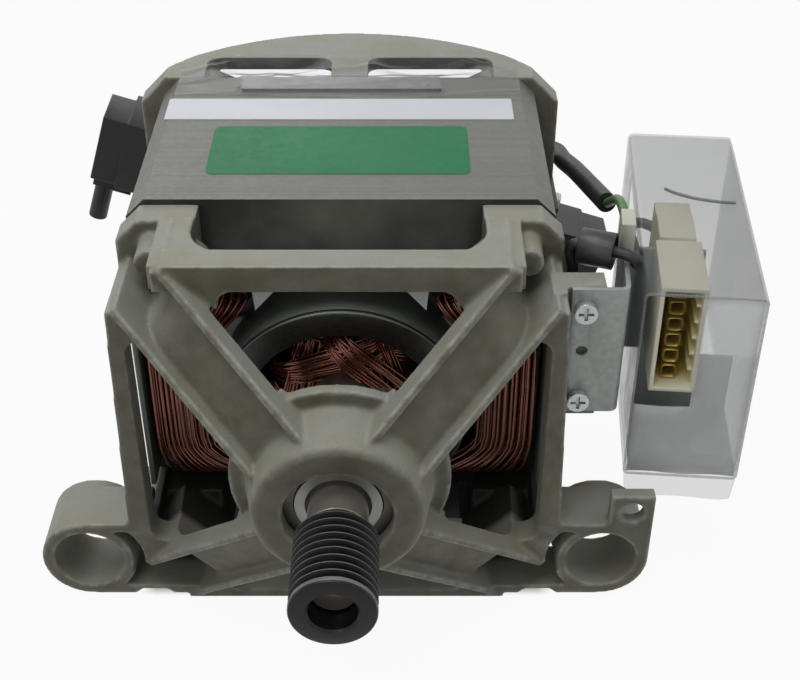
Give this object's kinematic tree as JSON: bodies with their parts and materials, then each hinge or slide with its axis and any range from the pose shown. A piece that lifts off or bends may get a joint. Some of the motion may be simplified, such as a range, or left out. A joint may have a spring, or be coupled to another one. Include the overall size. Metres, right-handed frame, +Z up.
{
  "type": "washing machine motor",
  "caption": "Brushed washing machine motor with die-cast end shields, a ribbed belt pulley, mounting lugs and a side connector under a clear cover.",
  "frame": {"origin": "on the shaft axis, in the middle of the pulley's groove run", "axes": "+Y rearward along the shaft, from the pulley to the speed sensor; +Z up, square to the stack's top; +X to the right, to the connector"},
  "size_m": [0.2028, 0.2234, 0.11],
  "materials": {
    "cast_aluminium": "as-cast, matte",
    "lamination_steel": "rolled, dull",
    "enamelled_copper": "enamelled wire, satin",
    "bare_copper": "turned, satin",
    "former_plastic": "moulded, satin",
    "insulation": "calendered sheet",
    "zinc_steel": "zinc plated",
    "bearing_steel": "ground",
    "cage_brass": "pressed",
    "shaft_steel": "ground",
    "black_steel": "blackened, worn crests",
    "hub_resin": "moulded resin",
    "disc_board": "pressed board",
    "magnet": "sintered",
    "black_plastic": "moulded",
    "brush_brass": "drawn",
    "carbon": "pressed carbon",
    "spring_steel": "drawn wire",
    "cream_plastic": "moulded nylon",
    "contact_brass": "tarnished",
    "film": "translucent film",
    "green_wire": "sheathed wire",
    "black_sleeve": "heat-shrink sleeve"
  },
  "bodies": {
    "stator_frame": {"front_end_shield": "cast_aluminium", "rear_end_shield": "cast_aluminium", "stator_core": "lamination_steel", "field_coil_left": "enamelled_copper", "field_coil_right": "enamelled_copper", "coil_former_front": "former_plastic", "coil_former_rear": "former_plastic", "insulation_sheets": "insulation", "through_bolts": "zinc_steel", "front_bearing_outer_ring": "bearing_steel", "front_bearing_shields": "bearing_steel", "rear_bearing_outer_ring": "bearing_steel", "rear_bearing_shields": "bearing_steel", "tacho_coil": "enamelled_copper", "tacho_cover": "black_plastic", "left_brush_holder": "black_plastic", "right_brush_holder": "black_plastic", "left_brush_tube": "brush_brass", "right_brush_tube": "brush_brass", "left_brush_spring": "spring_steel", "right_brush_spring": "spring_steel", "brush_holder_screws": "zinc_steel", "left_brush_terminal": "cream_plastic", "left_lead_boot": "black_plastic", "connector_bracket": "zinc_steel", "bracket_screws": "zinc_steel", "connector_housing": "cream_plastic", "connector_contacts": "contact_brass", "connector_cover": "film", "earth_terminal": "cream_plastic", "earth_lead": "green_wire", "lead_sleeve": "black_sleeve", "field_lead": "black_sleeve", "field_lead_sleeve": "black_sleeve"},
    "rotor": {"rotor_shaft": "shaft_steel", "rotor_core": "lamination_steel", "armature_end_discs": "disc_board", "armature_winding": "enamelled_copper", "commutator_hub": "hub_resin", "commutator_bars": "bare_copper", "drive_pulley": "black_steel", "front_bearing_inner_ring": "bearing_steel", "rear_bearing_inner_ring": "bearing_steel", "tacho_magnet": "magnet"},
    "front_ball_set": {"front_bearing_balls": "bearing_steel", "front_bearing_cage": "cage_brass"},
    "rear_ball_set": {"rear_bearing_balls": "bearing_steel", "rear_bearing_cage": "cage_brass"},
    "left_brush": {"left_carbon_brush": "carbon"},
    "right_brush": {"right_carbon_brush": "carbon"}
  },
  "joints": [
    {"name": "rotor_spin", "type": "hinge", "parent": "stator_frame", "child": "rotor", "pos_m": [0, 0, 0], "axis": [0, 1, 0], "continuous": true},
    {"name": "front_ball_orbit", "type": "hinge", "parent": "stator_frame", "child": "front_ball_set", "pos_m": [0, 0.0289, 0], "axis": [0, 1, 0], "continuous": true},
    {"name": "rear_ball_orbit", "type": "hinge", "parent": "stator_frame", "child": "rear_ball_set", "pos_m": [0, 0.1918, 0], "axis": [0, 1, 0], "continuous": true},
    {"name": "left_brush_slide", "type": "slide", "parent": "stator_frame", "child": "left_brush", "axis": [-0.9511, 0, 0.309], "range_m": [0, 0.004], "stiffness_N_per_m": 150, "springref_m": -0.012, "deforming": ["left_brush_spring"]},
    {"name": "right_brush_slide", "type": "slide", "parent": "stator_frame", "child": "right_brush", "axis": [0.9511, 0, -0.309], "range_m": [0, 0.004], "stiffness_N_per_m": 150, "springref_m": -0.012, "deforming": ["right_brush_spring"]}
  ],
  "couplings": [
    {"joint": "front_ball_orbit", "follows": "rotor_spin", "ratio": 0.381},
    {"joint": "rear_ball_orbit", "follows": "rotor_spin", "ratio": 0.36477}
  ]
}
